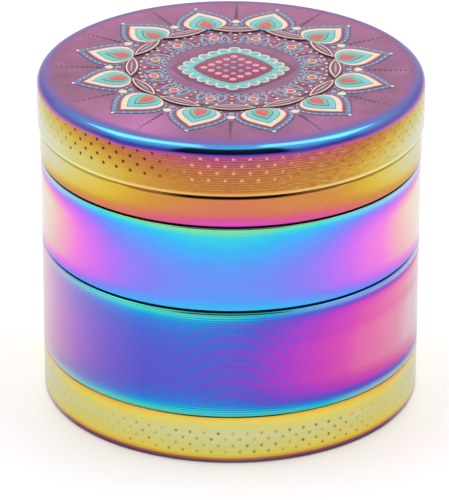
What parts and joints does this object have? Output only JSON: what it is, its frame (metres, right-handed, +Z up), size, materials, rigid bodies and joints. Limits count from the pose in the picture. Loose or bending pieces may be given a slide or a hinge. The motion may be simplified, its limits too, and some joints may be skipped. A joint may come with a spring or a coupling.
{
  "type": "herb grinder",
  "caption": "Cylindrical metal herb grinder: toothed magnetic lid, grinding chamber, sieve chamber and dust tray joined by screw threads.",
  "frame": {"origin": "centre of the tray's underside", "axes": "+Z up along the grinder's axis, -Y towards the viewer, +X to the viewer's right"},
  "size_m": [0.064, 0.064, 0.0565],
  "materials": {
    "tray_gold": "gold iridescent plating, turned and dimpled",
    "sieve_indigo": "indigo to magenta iridescent plating, polished",
    "chamber_azure": "azure to pink iridescent plating, polished",
    "lid_mauve": "mauve iridescent plating with printed rosette",
    "magnet_nickel": "nickel plated magnet",
    "ring_nylon": "natural nylon, satin",
    "screen_steel": "stainless wire cloth",
    "screen_ring": "bare turned aluminium"
  },
  "bodies": {
    "tray": {"kief_tray": "tray_gold"},
    "screen_carrier": {"screen_mesh": "screen_steel", "screen_retaining_ring": "screen_ring"},
    "sieve": {"sieve_chamber": "sieve_indigo"},
    "chamber_magnet_carrier": {"chamber_magnet": "magnet_nickel"},
    "chamber": {"grinding_chamber": "chamber_azure"},
    "glide": {"glide_ring": "ring_nylon"},
    "lid": {"lid_shell": "lid_mauve", "lid_magnet": "magnet_nickel"}
  },
  "joints": [
    {"name": "sieve_lift", "type": "slide", "parent": "tray", "child": "screen_carrier", "axis": [0, 0, 1], "range_m": [0, 0.00583]},
    {"name": "sieve_turn", "type": "hinge", "parent": "screen_carrier", "child": "sieve", "pos_m": [0, 0, 0.0085], "axis": [0, 0, 1], "range_deg": [0, 1050]},
    {"name": "chamber_lift", "type": "slide", "parent": "sieve", "child": "chamber_magnet_carrier", "axis": [0, 0, 1], "range_m": [0, 0.00583]},
    {"name": "chamber_turn", "type": "hinge", "parent": "chamber_magnet_carrier", "child": "chamber", "pos_m": [0, 0, 0.0273], "axis": [0, 0, 1], "range_deg": [0, 1050]},
    {"name": "lid_lift", "type": "slide", "parent": "chamber", "child": "glide", "axis": [0, 0, 1], "range_m": [0, 0.028]},
    {"name": "lid_turn", "type": "hinge", "parent": "glide", "child": "lid", "pos_m": [0, 0, 0.04225], "axis": [0, 0, 1], "continuous": true}
  ],
  "couplings": [
    {"joint": "sieve_lift", "follows": "sieve_turn", "m_per_rad": 0.0003183},
    {"joint": "chamber_lift", "follows": "chamber_turn", "m_per_rad": 0.0003183}
  ]
}
